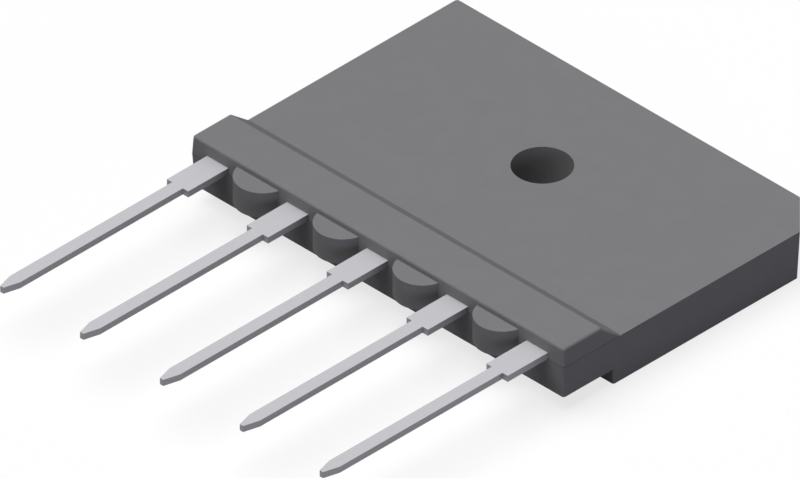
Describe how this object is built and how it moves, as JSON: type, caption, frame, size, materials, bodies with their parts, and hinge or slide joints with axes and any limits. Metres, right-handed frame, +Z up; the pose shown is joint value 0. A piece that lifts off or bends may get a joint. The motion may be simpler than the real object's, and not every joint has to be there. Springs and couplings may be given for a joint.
{
  "type": "bridge rectifier",
  "caption": "Flat moulded three-phase bridge rectifier with a row of flat leads, a raised front bar, half-round bosses between the leads and a central screw hole.",
  "frame": {"origin": "on the axis of the screw hole, at the underside that lies on the heat sink", "axes": "+X along the lead row towards the positive lead and the cut corner, +Y from the leads to the back of the body, +Z up through the screw hole"},
  "size_m": [0.035, 0.0453, 0.0053],
  "materials": {
    "epoxy": "fine matt moulding, charcoal grey",
    "tinned_leads": "satin tin plating on stamped copper",
    "silicon": "dark satin, metallised top",
    "clip_copper": "satin copper sheet",
    "solder": "dull solder"
  },
  "bodies": {
    "root": {"molded_body": "epoxy", "plus_terminal": "tinned_leads", "ac_terminal_1": "tinned_leads", "ac_terminal_2": "tinned_leads", "ac_terminal_3": "tinned_leads", "minus_terminal": "tinned_leads", "plus_die_1": "silicon", "plus_die_2": "silicon", "plus_die_3": "silicon", "minus_die_1": "silicon", "minus_die_2": "silicon", "minus_die_3": "silicon", "ac_clip_1": "clip_copper", "ac_clip_2": "clip_copper", "ac_clip_3": "clip_copper", "minus_clip": "clip_copper", "plus_die_1_base_solder": "solder", "plus_die_1_top_solder": "solder", "plus_die_2_base_solder": "solder", "plus_die_2_top_solder": "solder", "plus_die_3_base_solder": "solder", "plus_die_3_top_solder": "solder", "minus_die_1_base_solder": "solder", "minus_die_1_top_solder": "solder", "minus_die_2_base_solder": "solder", "minus_die_2_top_solder": "solder", "minus_die_3_base_solder": "solder", "minus_die_3_top_solder": "solder", "ac_clip_1_solder": "solder", "ac_clip_2_solder": "solder", "ac_clip_3_solder": "solder", "minus_clip_solder": "solder"}
  },
  "joints": []
}
